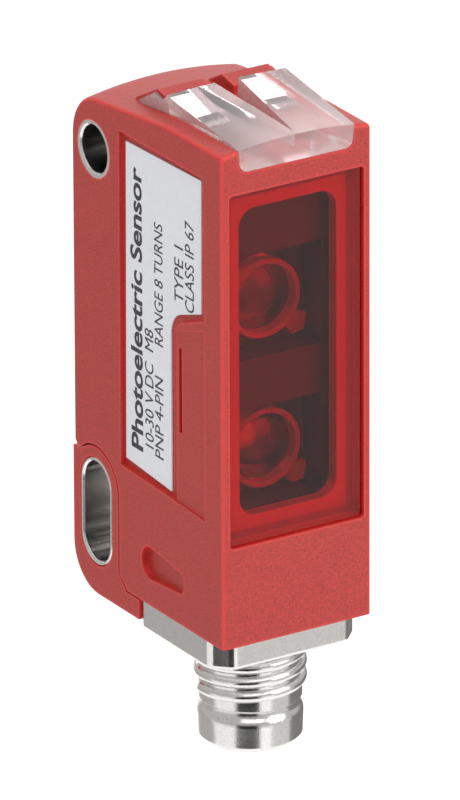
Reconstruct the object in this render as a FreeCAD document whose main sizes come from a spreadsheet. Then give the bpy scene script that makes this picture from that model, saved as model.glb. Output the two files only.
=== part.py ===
import FreeCAD, Part
import math
import os
import re
import Sketcher

# Compact cubic photoelectric sensor with two metal mounting sleeves and an M8 plug connector.
# Frame: origin in the centre of the upper mounting bore, +X along that bore, +Z up,
# the optical front looks along -Y. All sizes are in millimetres.

DIMENSIONS = [
    # housing
    ("width", 11.4), ("front", 15.5), ("rear", 2.8), ("foot_line", 29.7), ("blank_top", 7.0),
    ("crown_top", 4.97), ("crown_radius", 29.0), ("slope_start", 10.0), ("slope_radius", 25.0),
    ("slope_angle", 6.3), ("rear_corner", 3.1), ("soft_edge", 0.35), ("wall", 1.1),
    # mounting sleeves
    ("bore_radius", 1.6), ("sleeve_radius", 1.95), ("mouth", 0.12), ("spacing", 25.4), ("slot_travel", 3.7),
    # window and its frame
    ("pane_half", 5.1), ("pane_top", 1.66), ("pane_bottom", 22.76), ("pane_sunk", 0.25), ("pane_thick", 0.8),
    ("sight_half", 3.7), ("sight_top", 0.1), ("sight_bottom", 21.2), ("sight_corner", 1.25), ("ledge", 1.3),
    # light guide
    ("guide_half", 4.65), ("guide_floor", 3.1), ("lip_side", 4.64), ("lip_middle", 4.97),
    ("ridge_back", 7.1), ("ridge_side", 5.77), ("ridge_middle", 5.9), ("guide_gap", 0.9), ("gap_floor", 4.0),
    ("cheek_back", 3.4), ("recess_back", 3.3), ("foot_half", 0.8), ("foot_spread", 2.5),
    # roof blocks behind the light guide
    ("block_half", 4.2), ("block_front", 6.95), ("block_crest", 5.45), ("block_top", 5.62),
    ("block_gap", 0.66), ("rib_top", 4.75), ("rib_front", 11.0),
    # label side
    ("recess_depth", 0.33), ("label_thick", 0.1), ("panel_depth", 0.12), ("groove_depth", 0.35),
    ("slot_depth", 0.8), ("ramp_deep", 0.5), ("ramp_shallow", 0.28),
    # rear foot
    ("arch_radius", 2.72), ("seam", 0.1), ("foot_bottom", 31.2), ("foot_front", 5.2), ("foot_round", 3.0),
    # connector
    ("flange_half", 5.6), ("flange_front", 14.7), ("flange_back", 5.28), ("flange_bottom", 31.75),
    ("flange_corner", 1.25), ("plug_y", 9.7), ("thread_radius", 3.72), ("thread_root", 3.42),
    ("thread_pitch", 1.0), ("thread_turns", 2.6), ("thread_low", 35.1), ("thread_start", 170.0),
    ("neck_top", 36.0), ("neck_radius", 3.2), ("collar_radius", 3.5), ("collar_top", 36.95),
    ("plug_end", 38.95), ("plug_bore", 2.85), ("plug_depth", 5.6), ("pin_radius", 0.5), ("pin_circle", 1.55),
    ("seal_neck", 2.95), ("seal_cord", 0.4),
    # optics
    ("carrier_half", 4.2), ("carrier_front", 12.9), ("carrier_back", 9.2), ("carrier_top", 0.9),
    ("carrier_bottom", 22.0), ("upper_lens", 7.7), ("lower_lens", 18.1),
    ("pocket_depth", 2.2), ("lens_radius", 2.75), ("dome_radius", 3.4),
    # distance setting
    ("spindle_z", 10.0), ("head_radius", 1.85), ("head_bore", 1.91), ("head_back", 2.6), ("head_length", 1.9),
    ("screw_radius", 0.9), ("screw_bore", 0.97), ("screw_end", 9.0), ("carriage_back", 5.7),
    ("carriage_length", 2.2), ("carriage_half", 2.9), ("carriage_tall", 2.6),
    # boards
    ("board_thick", 0.8), ("board_front", 4.4), ("board_half", 4.2),
]
NAMES = {alias for alias, size in DIMENSIONS}

ORIGIN = FreeCAD.Vector(0, 0, 0)
TURNS = {
    "x": FreeCAD.Rotation(FreeCAD.Vector(0, 1, 0), 90),
    "y": FreeCAD.Rotation(FreeCAD.Vector(1, 0, 0), -90),
    "z": FreeCAD.Rotation(),
}

doc = FreeCAD.newDocument("photoelectric_sensor")
sheet = doc.addObject("Spreadsheet::Sheet", "Sizes")
for row, (alias, size) in enumerate(DIMENSIONS, start=1):
    sheet.set("A%d" % row, alias)
    sheet.set("B%d" % row, str(size))
    sheet.setAlias("B%d" % row, alias)
doc.recompute()


# ---------------------------------------------------------------- helpers

def formula(text):
    """The expression with the sheet's name put before every dimension."""
    return re.sub(r"[a-z]\w*", lambda word: "Sizes." + word[0] if word[0] in NAMES else word[0], str(text))


def value(text):
    return float(sheet.evalExpression(formula(text)))


def put(item, place):
    """Drive the item's position from three expressions."""
    for axis, text in zip("xyz", place):
        item.setExpression("Placement.Base." + axis, formula(text))
    return item


def box(name, low, high):
    """A block between two corners."""
    item = doc.addObject("Part::Box", name)
    for side, start, end in zip(("Length", "Width", "Height"), low, high):
        item.setExpression(side, formula("(%s) - (%s)" % (end, start)))
    return put(item, low)


def rod(name, radius, length, place, axis="z"):
    """A round bar from its centre point at one end, along +axis."""
    item = doc.addObject("Part::Cylinder", name)
    item.Placement = FreeCAD.Placement(ORIGIN, TURNS[axis])
    item.setExpression("Radius", formula(radius))
    item.setExpression("Height", formula(length))
    return put(item, place)


def ball(name, radius, place):
    item = doc.addObject("Part::Sphere", name)
    item.setExpression("Radius", formula(radius))
    return put(item, place)


def fuse(name, *items):
    item = doc.addObject("Part::MultiFuse", name)
    item.Shapes = list(items)
    item.Refine = True
    return item


def common(name, *items):
    item = doc.addObject("Part::MultiCommon", name)
    item.Shapes = list(items)
    return item


def cut(name, base, *tools):
    """The base less every tool."""
    item = doc.addObject("Part::Cut", name)
    item.Base = base
    item.Tool = tools[0] if len(tools) == 1 else fuse(name + "_tools", *tools)
    item.Refine = True
    return item


def soften(name, base, radius, chosen):
    """Round the edges that the test picks."""
    doc.recompute()
    item = doc.addObject("Part::Fillet", name)
    item.Base = base
    size = value(radius)
    item.Edges = [(n, size, size) for n, edge in enumerate(base.Shape.Edges, start=1) if chosen(edge)]
    return item


def plane_of(body, role):
    return next(item for item in body.Origin.OriginFeatures if item.Role == role)


def prism(name, plane, corners, length, symmetric=True, rounds=(), shift=None):
    """A PartDesign body: a closed outline of driven corners on an origin plane, padded.

    rounds lists (corner numbers, radius) for the pad's own corners."""
    body = doc.addObject("PartDesign::Body", name)
    sketch = body.newObject("Sketcher::SketchObject", name + "_outline")
    sketch.AttachmentSupport = [(plane_of(body, plane), "")]
    sketch.MapMode = "FlatFace"
    places = [FreeCAD.Vector(value(first), value(second), 0) for first, second in corners]
    count = len(places)
    for n in range(count):
        sketch.addGeometry(Part.LineSegment(places[n], places[(n + 1) % count]))
    for n in range(count):
        sketch.addConstraint(Sketcher.Constraint("Coincident", n, 2, (n + 1) % count, 1))
    for n, (first, second) in enumerate(corners):
        across = sketch.addConstraint(Sketcher.Constraint("DistanceX", -1, 1, n, 1, places[n].x))
        sketch.setExpression("Constraints[%d]" % across, formula(first))
        along = sketch.addConstraint(Sketcher.Constraint("DistanceY", -1, 1, n, 1, places[n].y))
        sketch.setExpression("Constraints[%d]" % along, formula(second))
    pad = body.newObject("PartDesign::Pad", name + "_pad")
    pad.Profile = sketch
    pad.SideType = "Symmetric" if symmetric else "One side"
    pad.setExpression("Length", formula(length))
    doc.recompute()
    spots = {n: sketch.Placement.multVec(places[n]) for n in range(count)}
    normal = sketch.Placement.Rotation.multVec(FreeCAD.Vector(0, 0, 1))
    for number, (chosen, radius) in enumerate(rounds):
        base = body.Tip
        lines = [spots[n] for n in chosen]
        edges = []
        for n, edge in enumerate(base.Shape.Edges, start=1):
            middle = edge.CenterOfMass
            if any((middle - spot).cross(normal).Length < 1e-4 for spot in lines):
                edges.append("Edge%d" % n)
        rounding = body.newObject("PartDesign::Fillet", "%s_round%d" % (name, number))
        rounding.Base = (base, edges)
        rounding.setExpression("Radius", formula(radius))
        body.Tip = rounding
        doc.recompute()
    if shift:
        put(body, shift)
    return body


def turned(name, profile, place, axis="y"):
    """A PartDesign body: a closed (radius, height) outline turned a full circle."""
    body = doc.addObject("PartDesign::Body", name)
    sketch = body.newObject("Sketcher::SketchObject", name + "_profile")
    sketch.AttachmentSupport = [(plane_of(body, "XZ_Plane"), "")]
    sketch.MapMode = "FlatFace"
    places = [FreeCAD.Vector(value(radius), value(height), 0) for radius, height in profile]
    count = len(places)
    for n in range(count):
        sketch.addGeometry(Part.LineSegment(places[n], places[(n + 1) % count]))
    for n in range(count):
        sketch.addConstraint(Sketcher.Constraint("Coincident", n, 2, (n + 1) % count, 1))
    for n, (radius, height) in enumerate(profile):
        across = sketch.addConstraint(Sketcher.Constraint("DistanceX", -1, 1, n, 1, places[n].x))
        sketch.setExpression("Constraints[%d]" % across, formula(radius))
        along = sketch.addConstraint(Sketcher.Constraint("DistanceY", -1, 1, n, 1, places[n].y))
        sketch.setExpression("Constraints[%d]" % along, formula(height))
    turn = body.newObject("PartDesign::Revolution", name + "_turn")
    turn.Profile = sketch
    turn.ReferenceAxis = (sketch, ["V_Axis"])
    turn.Angle = 360
    body.Placement = FreeCAD.Placement(ORIGIN, TURNS[axis])
    put(body, place)
    return body


sub_parts = []


def keep(name, item):
    item.Label = name
    sub_parts.append(item)
    return item


# ---------------------------------------------------------------- housing

def crown_cutter():
    """Everything above the crowned roof line, which runs level, bends and then falls to the rear."""
    top = value("crown_top")
    bend = value("slope_radius")
    angle = math.radians(value("slope_angle"))
    half = value("width") / 2 + 1
    crown = value("crown_radius")
    drop = crown - math.sqrt(crown ** 2 - half ** 2)
    centre = FreeCAD.Vector(0, -value("slope_start"), top - bend)
    head = FreeCAD.Vector(0, -value("front") - 2, top)
    knee = centre + FreeCAD.Vector(0, 0, bend)
    halfway = centre + FreeCAD.Vector(0, math.sin(angle / 2), math.cos(angle / 2)) * bend
    heel = centre + FreeCAD.Vector(0, math.sin(angle), math.cos(angle)) * bend
    tail = heel + FreeCAD.Vector(0, math.cos(angle), -math.sin(angle)) * 14
    path = Part.Wire([
        Part.LineSegment(head, knee).toShape(),
        Part.Arc(knee, halfway, heel).toShape(),
        Part.LineSegment(heel, tail).toShape(),
    ])
    left = FreeCAD.Vector(-half, head.y, top - drop)
    right = FreeCAD.Vector(half, head.y, top - drop)
    high = FreeCAD.Vector(0, 0, 5)
    outline = Part.Wire([
        Part.Arc(left, head, right).toShape(),
        Part.LineSegment(right, right + high).toShape(),
        Part.LineSegment(right + high, left + high).toShape(),
        Part.LineSegment(left + high, left).toShape(),
    ])
    item = doc.addObject("Part::Feature", "roof_cutter")
    item.Shape = path.makePipeShell([outline], True, False)
    return item


def housing_blank():
    """The outer form: an upright block with a crowned, rear-sloping roof and rounded edges."""
    half = value("width / 2")
    front = value("front")
    rear = value("rear")
    blank = prism("housing_block", "YZ_Plane", [
        ("-front", "-foot_line"), ("rear", "-foot_line"), ("rear", "blank_top"), ("-front", "blank_top"),
    ], "width")
    roofed = cut("housing_roofed", blank, crown_cutter())
    corner = soften("housing_corner", roofed, "rear_corner", lambda edge: (
        abs(edge.CenterOfMass.y - rear) < 0.01 and edge.CenterOfMass.z > 0
        and edge.BoundBox.XLength > half and edge.BoundBox.YLength < 0.05))
    edges = soften("housing_edges", corner, "soft_edge", lambda edge: (
        (abs(abs(edge.CenterOfMass.x) - half) < 0.01 and edge.BoundBox.XLength < 0.01
         and edge.CenterOfMass.z > -29.6)
        or (abs(edge.CenterOfMass.y + front) < 0.01 and edge.CenterOfMass.z > 0
            and edge.BoundBox.XLength > half)))
    return edges


def window_pocket():
    return prism("window_pocket", "XZ_Plane", [
        ("-pane_half", "-pane_bottom"), ("pane_half", "-pane_bottom"),
        ("pane_half", "pane_top"), ("-pane_half", "pane_top"),
    ], "pane_sunk + pane_thick + 0.05 + 1", symmetric=False, rounds=[((0, 1, 2, 3), "0.25")],
        shift=("0", "-front + pane_sunk + pane_thick + 0.05", "0"))


def sight_opening():
    return prism("sight_opening", "XZ_Plane", [
        ("-sight_half", "-sight_bottom"), ("sight_half", "-sight_bottom"),
        ("sight_half", "sight_top"), ("-sight_half", "sight_top"),
    ], "4", symmetric=False, rounds=[((0, 1, 2, 3), "sight_corner")],
        shift=("0", "-front + ledge + 1.5", "0"))


def guide_recess():
    """The seat of the light guide: open at the top and the front, narrowing downwards."""
    return prism("guide_recess", "XZ_Plane", [
        ("-guide_half + 0.4", "guide_floor"), ("guide_half - 0.4", "guide_floor"),
        ("guide_half + 0.05", "blank_top"), ("-guide_half - 0.05", "blank_top"),
    ], "front - recess_back + 1", symmetric=False, rounds=[((0, 1), "0.6")],
        shift=("0", "-recess_back", "0"))


def roof_blocks():
    """Two raised blocks behind the light guide's bars, with a rib that runs on between the bars."""
    wedge = prism("roof_block_form", "YZ_Plane", [
        ("-block_front", "guide_floor - 0.2"), ("-2.8", "guide_floor - 0.2"), ("-2.8", "4.19"),
        ("-block_crest", "block_top"), ("-block_front", "block_top - 0.3"),
    ], "block_half * 2")
    passage = box("roof_block_gap", ("-block_gap", "-block_front - 1", "rib_top"),
                  ("block_gap", "-2", "blank_top"))
    rib = prism("roof_rib", "XY_Plane", [
        ("-0.38", "-rib_front"), ("0.38", "-rib_front"), ("0.78", "-block_front + 0.3"),
        ("-0.78", "-block_front + 0.3"),
    ], "rib_top - gap_floor - 0.05", symmetric=False, shift=("0", "0", "gap_floor + 0.05"))
    return fuse("roof_blocks", cut("roof_block_pair", wedge, passage), rib)


def side_pocket(name, corners, depth, rounds=()):
    """A shallow pocket in the left side face."""
    return prism(name, "YZ_Plane", corners, "2 * (%s)" % depth, rounds=rounds,
                 shift=("-width / 2", "0", "0"))


def label_recess():
    return side_pocket("label_recess", [
        ("-3.1", "2.3"), ("-3.1", "-20.97"), ("-9.8", "-21.2"), ("-9.8", "-8.8"),
        ("-13.34", "-7.45"), ("-13.34", "2.3"),
    ], "recess_depth", rounds=[((3,), "1.3")])


def panel_recess():
    """The shallow field beside the label, below its step."""
    return side_pocket("panel_recess", [
        ("-9.75", "-9.35"), ("-13.3", "-8.2"), ("-13.3", "-21.35"), ("-9.75", "-21.2"),
    ], "panel_depth")


def panel_groove():
    """The fine line along the field's front edge."""
    return side_pocket("panel_groove", [
        ("-13.22", "-8.25"), ("-13.36", "-8.2"), ("-13.36", "-21.35"), ("-13.22", "-21.35"),
    ], "groove_depth")


def latch_slot():
    return side_pocket("latch_slot", [
        ("-10.1", "-10.45"), ("-10.45", "-10.35"), ("-10.45", "-16.3"), ("-10.1", "-16.3"),
    ], "slot_depth")


def ramp_pocket():
    """A tapering slot whose floor rises almost to the surface at its front end."""
    outline = prism("ramp_outline", "YZ_Plane", [
        ("-5.6", "-27.9"), ("-5.6", "-25.45"), ("-10.7", "-26.1"), ("-10.7", "-27.5"),
    ], "3", rounds=[((0, 1), "1.0"), ((2, 3), "0.5")], shift=("-width / 2", "0", "0"))
    wedge = prism("ramp_wedge", "XY_Plane", [
        ("-width / 2 - 1", "-5.5"), ("-width / 2 + ramp_deep", "-5.5"),
        ("-width / 2 + ramp_shallow", "-10.8"), ("-width / 2 - 1", "-10.8"),
    ], "4", shift=("0", "0", "-26.65"))
    return common("ramp_pocket", outline, wedge)


def foot_region(name, gap):
    """The rear lower region that belongs to the foot, grown by a gap."""
    lower = prism(name + "_lower", "YZ_Plane", [
        ("-arch_radius - (%s)" % gap, "-23.55"), ("-arch_radius - (%s)" % gap, "-28.85"),
        ("-3.6 - (%s)" % gap, "-foot_line + (%s)" % gap), ("-3.6", "-foot_bottom - 2"),
        ("rear + 2", "-foot_bottom - 2"), ("rear + 2", "-23.55"),
    ], "width + 2")
    arch = rod(name + "_arch", "arch_radius + (%s)" % gap, "width + 2",
               ("-width / 2 - 1", "0", "-23.55"), "x")
    corner = prism(name + "_corner", "YZ_Plane", [
        ("0", "-23.6"), ("rear + 2", "-23.6"), ("rear + 2", "-21.6 + (%s)" % gap),
        ("1.7", "-21.6 + (%s)" % gap),
    ], "width + 2")
    return fuse(name, lower, arch, corner)


def rear_notch():
    """The small V where the foot's seam leaves through the rear face."""
    return prism("rear_notch", "YZ_Plane", [
        ("rear - 0.7", "-21.55"), ("rear + 0.2", "-21.5 + 0.7"), ("rear + 0.2", "-21.65"),
    ], "width + 2")


def housing_cavity():
    """The hollow: a front chamber for the optics and a shallower one behind the circuit board."""
    half = "width / 2 - wall"
    front_room = box("front_room", ("-(%s)" % half, "-front + ledge + 0.7", "-28.4"), (half, "-3.0", "1.5"))
    rear_room = box("rear_room", ("-(%s)" % half, "-3.2", "-19.8"), (half, "rear - wall", "-3.4"))
    return fuse("housing_cavity", front_room, rear_room)


def main_housing():
    hollow = cut(
        "housing_hollow", housing_blank(), housing_cavity(), window_pocket(), sight_opening(), guide_recess(),
        label_recess(), panel_recess(), panel_groove(), latch_slot(), ramp_pocket(),
        foot_region("foot_space", "seam"), rear_notch(),
        rod("upper_sleeve_seat", "sleeve_radius", "width + 2", ("-width / 2 - 1", "0", "0"), "x"),
        foot_block("left_light_well", "-", "1", "guide_floor + 0.2", "0.05"),
        foot_block("right_light_well", "", "1", "guide_floor + 0.2", "0.05"),
        rod("connector_seat", "seal_neck + 0.05", "3", ("0", "-plug_y", "-foot_line - 1")))
    boss = rod("spindle_boss", "3", "2.9", ("0", "rear - 0.5 - 2.9", "-spindle_z"), "y")
    bore = rod("spindle_bore", "head_bore", "8", ("0", "-3", "-spindle_z"), "y")
    return cut("main_housing_body", fuse("housing_with_boss", hollow, boss, roof_blocks()), bore)


# ---------------------------------------------------------------- rear foot and sleeves

def rear_foot():
    """The end cap that carries the slotted sleeve and closes the rear lower corner."""
    slab = prism("foot_slab", "YZ_Plane", [
        ("-foot_front", "-foot_bottom"), ("rear", "-foot_bottom"), ("rear", "-20"),
        ("-foot_front", "-20"),
    ], "width", rounds=[((1,), "foot_round")])
    region = fuse("foot_outline", foot_region("foot_form", "-0.02"),
                  box("foot_step", ("-width", "-foot_front", "-foot_bottom"),
                      ("width", "0", "-foot_line - seam")))
    solid = common("foot_solid", slab, region)
    pocket = rod("slot_seat_top", "sleeve_radius", "width + 2",
                 ("-width / 2 - 1", "0", "-spacing + slot_travel / 2"), "x")
    pocket_low = rod("slot_seat_low", "sleeve_radius", "width + 2",
                     ("-width / 2 - 1", "0", "-spacing - slot_travel / 2"), "x")
    middle = box("slot_seat_mid", ("-width / 2 - 1", "-sleeve_radius", "-spacing - slot_travel / 2"),
                 ("width / 2 + 1", "sleeve_radius", "-spacing + slot_travel / 2"))
    return cut("rear_foot_body", solid, pocket, pocket_low, middle)


def upper_sleeve():
    """A nickel-plated tube through the housing, its mouths slightly flared."""
    half = "width / 2"
    return turned("upper_sleeve_body", [
        ("bore_radius", "-(%s) + mouth" % half), ("bore_radius + mouth", "-(%s)" % half),
        ("sleeve_radius", "-(%s)" % half), ("sleeve_radius", half),
        ("bore_radius + mouth", half), ("bore_radius", "%s - mouth" % half),
    ], ("0", "0", "0"), "x")


def long_hole(name, radius, length, middle_x):
    """A slot-shaped bar along X with round ends above and below."""
    start = "(%s) - (%s) / 2" % (middle_x, length)
    end = "(%s) + (%s) / 2" % (middle_x, length)
    top = rod(name + "_top", radius, length, (start, "0", "-spacing + slot_travel / 2"), "x")
    low = rod(name + "_low", radius, length, (start, "0", "-spacing - slot_travel / 2"), "x")
    middle = box(name + "_mid", (start, "-(%s)" % radius, "-spacing - slot_travel / 2"),
                 (end, radius, "-spacing + slot_travel / 2"))
    return fuse(name, top, low, middle)


def lower_sleeve():
    """The slotted metal sleeve of the lower mounting hole."""
    outer = long_hole("lower_sleeve_outer", "sleeve_radius", "width", "0")
    inner = long_hole("lower_sleeve_inner", "bore_radius", "width + 2", "0")
    bored = cut("lower_sleeve_bored", outer, inner)
    half = value("width / 2")
    reach = value("bore_radius") + 0.05
    item = doc.addObject("Part::Chamfer", "lower_sleeve_body")
    doc.recompute()
    item.Base = bored
    size = value("mouth")
    centre = -value("spacing")
    travel = value("slot_travel") / 2
    item.Edges = [
        (n, size, size) for n, edge in enumerate(bored.Shape.Edges, start=1)
        if abs(abs(edge.CenterOfMass.x) - half) < 0.01 and edge.BoundBox.XLength < 0.01
        and abs(edge.CenterOfMass.y) < reach and abs(edge.CenterOfMass.z - centre) < travel + reach]
    return item


# ---------------------------------------------------------------- window, light guide, label

def filter_window():
    return prism("filter_window_body", "XZ_Plane", [
        ("-pane_half + 0.03", "-pane_bottom + 0.03"), ("pane_half - 0.03", "-pane_bottom + 0.03"),
        ("pane_half - 0.03", "pane_top - 0.03"), ("-pane_half + 0.03", "pane_top - 0.03"),
    ], "pane_thick", symmetric=False, rounds=[((0, 1, 2, 3), "0.25")],
        shift=("0", "-front + pane_sunk + pane_thick", "0"))


def window_adhesive():
    """The thin bead of clear adhesive between the pane's rim and the housing's ledge."""
    plate = prism("adhesive_plate", "XZ_Plane", [
        ("-pane_half + 0.2", "-pane_bottom + 0.2"), ("pane_half - 0.2", "-pane_bottom + 0.2"),
        ("pane_half - 0.2", "pane_top - 0.2"), ("-pane_half + 0.2", "pane_top - 0.2"),
    ], "0.05", symmetric=False, shift=("0", "-front + pane_sunk + pane_thick + 0.05", "0"))
    hole = box("adhesive_hole", ("-pane_half + 0.7", "-front", "-pane_bottom + 0.7"),
               ("pane_half - 0.7", "-front + 3", "pane_top - 0.7"))
    return cut("window_adhesive_body", plate, hole)


def guide_section(depth, side, middle):
    """One upright cross-section of the light guide's wedge, with its crowned top."""
    half = value("guide_half") + 0.1
    floor = value("guide_floor") + 0.05
    place = -value(depth)
    corners = [FreeCAD.Vector(x, place, z) for x, z in (
        (-half, value(side)), (-half, floor), (half, floor), (half, value(side)))]
    crown = Part.Arc(corners[3], FreeCAD.Vector(0, place, value(middle)), corners[0]).toShape()
    sides = [Part.LineSegment(corners[n], corners[n + 1]).toShape() for n in range(3)]
    return Part.Wire(sides + [crown])


def guide_cheeks():
    """The thin outer walls that run on past the bars, down to the roof."""
    wall = prism("guide_cheek_form", "YZ_Plane", [
        ("-ridge_back - 0.3", "guide_floor + 0.05"), ("-cheek_back", "guide_floor + 0.05"),
        ("-cheek_back", "4.25"), ("-5.5", "5.45"), ("-6.35", "5.2"),
        ("-ridge_back - 0.05", "ridge_side - 0.05"), ("-ridge_back - 0.3", "ridge_side - 0.1"),
    ], "guide_half * 2")
    return cut("guide_cheeks", wall, box("guide_cheek_space", (
        "-block_half - 0.05", "-ridge_back + 0.05", "2"), ("block_half + 0.05", "-1", "blank_top")))


def foot_block(name, sign, low, high, gap):
    """The square column under one bar of the light guide, grown by a gap."""
    middle = "%sfoot_spread" % sign
    return box(name, ("%s - foot_half - %s" % (middle, gap), "-9.5 - foot_half - %s" % gap, low),
               ("%s + foot_half + %s" % (middle, gap), "-9.5 + foot_half + %s" % gap, high))


def light_guide():
    """Clear guide: two wedge bars that rise to a ridge, on a base that fills the front notch."""
    wedge = doc.addObject("Part::Feature", "guide_wedge")
    wedge.Shape = Part.makeLoft([
        guide_section("front", "lip_side", "lip_middle"),
        guide_section("ridge_back", "ridge_side", "ridge_middle"),
    ], True, True)
    front_view = prism("guide_front", "XZ_Plane", [
        ("-guide_half + 0.45", "guide_floor + 0.05"), ("guide_half - 0.45", "guide_floor + 0.05"),
        ("guide_half", "blank_top"), ("-guide_half", "blank_top"),
    ], "front + 2", symmetric=False, rounds=[((0, 1), "0.55")], shift=("0", "1", "0"))
    form = common("guide_form", fuse("guide_bars", wedge, guide_cheeks()), front_view)
    gap = prism("guide_gap_wedge", "XY_Plane", [
        ("0", "-front + 0.35"), ("guide_gap", "-ridge_back"), ("guide_gap", "-ridge_back + 1"),
        ("-guide_gap", "-ridge_back + 1"), ("-guide_gap", "-ridge_back"),
    ], "4", symmetric=False, shift=("0", "0", "gap_floor"))
    feet = [foot_block("guide_foot_%s" % side, sign, "1.6", "guide_floor + 0.2", "0")
            for side, sign in (("left", "-"), ("right", ""))]
    return fuse("light_guide_body", cut("guide_trimmed", form, gap), *feet)


def type_label():
    """The self-adhesive label in the side recess."""
    return prism("type_label_body", "YZ_Plane", [
        ("-3.6", "1.7"), ("-3.4", "-20.42"), ("-8.96", "-20.86"), ("-8.96", "-8.55"),
        ("-12.66", "-7.26"), ("-12.72", "1.95"),
    ], "label_thick", symmetric=False, rounds=[((3,), "1.8")],
        shift=("-width / 2 + recess_depth - label_thick", "0", "0"))


# ---------------------------------------------------------------- connector

def connector_flange():
    """The rectangular plate against the housing's underside, its front corners cut off and rounded."""
    plate = prism("flange_plate", "XY_Plane", [
        ("-flange_half", "-flange_front + flange_corner"), ("-flange_half + flange_corner", "-flange_front"),
        ("flange_half - flange_corner", "-flange_front"), ("flange_half", "-flange_front + flange_corner"),
        ("flange_half", "-flange_back"), ("-flange_half", "-flange_back"),
    ], "flange_bottom - foot_line", symmetric=False, rounds=[((0, 1, 2, 3), "0.9"), ((4, 5), "0.4")],
        shift=("0", "0", "-flange_bottom"))
    low = -value("flange_bottom")
    return soften("flange_soft", plate, "0.3", lambda edge: abs(edge.BoundBox.ZMax - low) < 0.001)


def thread_ridge():
    """One rounded helical thread form wound round the plug."""
    pitch = value("thread_pitch")
    foot = value("thread_root") - 0.06
    half = pitch * 0.42
    helix = Part.makeHelix(pitch, pitch * value("thread_turns"), foot)
    low = FreeCAD.Vector(foot, 0, -half)
    tip = FreeCAD.Vector(value("thread_radius"), 0, 0)
    high = FreeCAD.Vector(foot, 0, half)
    section = Part.Wire([Part.Arc(low, tip, high).toShape(), Part.LineSegment(high, low).toShape()])
    item = doc.addObject("Part::Feature", "thread_ridge")
    item.Shape = Part.Wire(helix.Edges).makePipeShell([section], True, True)
    item.Placement = FreeCAD.Placement(
        FreeCAD.Vector(0, -value("plug_y"), -value("thread_low")),
        FreeCAD.Rotation(FreeCAD.Vector(0, 0, 1), value("thread_start")))
    return item


def plug_shell():
    """The turned outer form of the plug: thread root, waisted neck and push-on collar."""
    shell = turned("plug_shell_form", [
        ("0", "-flange_bottom + 1"), ("thread_root", "-flange_bottom + 1"),
        ("thread_root", "-neck_top"), ("neck_radius", "-neck_top - 0.2"),
        ("neck_radius", "-collar_top + 0.55"), ("collar_radius", "-collar_top"),
        ("collar_radius - 0.06", "-plug_end + 0.35"), ("collar_radius - 0.3", "-plug_end"),
        ("0", "-plug_end"),
    ], ("0", "-plug_y", "0"), "z")
    bends = [-value("collar_top"), -value("collar_top") + 0.55]
    return soften("plug_shell", shell, "0.7", lambda edge: (
        edge.BoundBox.ZLength < 0.01 and any(abs(edge.BoundBox.ZMax - bend) < 0.01 for bend in bends)))


def connector_body():
    """Die-cast flange with the externally threaded plug shell and its push-on collar."""
    socket = rod("plug_socket", "plug_bore", "plug_depth + 1", ("0", "-plug_y", "-plug_end - 1"))
    throat = rod("plug_throat", "2.2", "14", ("0", "-plug_y", "-plug_end - 1"))
    neck = rod("plug_neck", "seal_neck", "foot_line - 27.55", ("0", "-plug_y", "-foot_line - 0.05"))
    whole = fuse("connector_whole", connector_flange(), plug_shell(), thread_ridge(), neck)
    return cut("connector_body_body", whole, socket, throat)


def contact_carrier():
    """The insulating insert that holds the four contacts, with its coding rib."""
    disc = rod("carrier_disc", "plug_bore - 0.02", "1.2", ("0", "-plug_y", "-plug_end + plug_depth - 1.2"))
    stem = rod("carrier_stem", "2.15", "6.2", ("0", "-plug_y", "-plug_end + plug_depth - 0.1"))
    rib = box("carrier_rib", ("-0.35", "-plug_y - plug_bore + 0.1", "-plug_end + 0.8"),
              ("0.35", "-plug_y - plug_bore + 0.75", "-plug_end + plug_depth - 1"))
    holes = [contact("carrier_hole_%d" % n, n, "pin_radius") for n in range(4)]
    return cut("contact_carrier_body", fuse("carrier_solid", disc, stem, rib), *holes)


def contact(name, number, radius):
    """One of the four contacts, on a circle about the plug's axis."""
    angle = math.radians(45 + 90 * number)
    place = ("pin_circle * %.4f" % math.cos(angle), "-plug_y + pin_circle * %.4f" % math.sin(angle),
             "-plug_end + 1.2")
    return rod(name, radius, "12.4", place)


def contact_pins():
    return fuse("contact_pins_body", *[contact("contact_%d" % n, n, "pin_radius") for n in range(4)])


def connector_seal():
    """The O-ring round the connector's neck inside the housing floor."""
    ring = doc.addObject("Part::Torus", "connector_seal_body")
    ring.setExpression("Radius1", formula("seal_neck + seal_cord + 0.02"))
    ring.setExpression("Radius2", formula("seal_cord"))
    return put(ring, ("0", "-plug_y", "-28.4 + seal_cord + 0.02"))


# ---------------------------------------------------------------- optics

def lens_pocket(name, centre, top, bottom):
    """A rectangular window in the optics carrier with the round barrel behind it."""
    recess = box(name + "_recess", ("-3.3", "-carrier_front - 1", "-(%s)" % bottom),
                 ("3.5", "-carrier_front + pocket_depth", "-(%s)" % top))
    barrel = rod(name + "_barrel", "lens_radius + 0.03", "6", ("0", "-carrier_front - 1", "-" + centre), "y")
    return fuse(name, recess, barrel)


def optics_carrier():
    """The black frame that holds both lenses and the emitter."""
    block = box("carrier_block", ("-carrier_half", "-carrier_front", "-carrier_bottom"),
                ("carrier_half", "-carrier_back", "carrier_top"))
    step = box("indicator_step", ("-5", "-11.9", "-0.4"), ("5", "-carrier_back + 1", "carrier_top + 1"))
    return cut("optics_carrier_body", block, step,
               lens_pocket("receiver_pocket", "upper_lens", "3.9", "11.1"),
               lens_pocket("transmitter_pocket", "lower_lens", "14.5", "21.4"))


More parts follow.
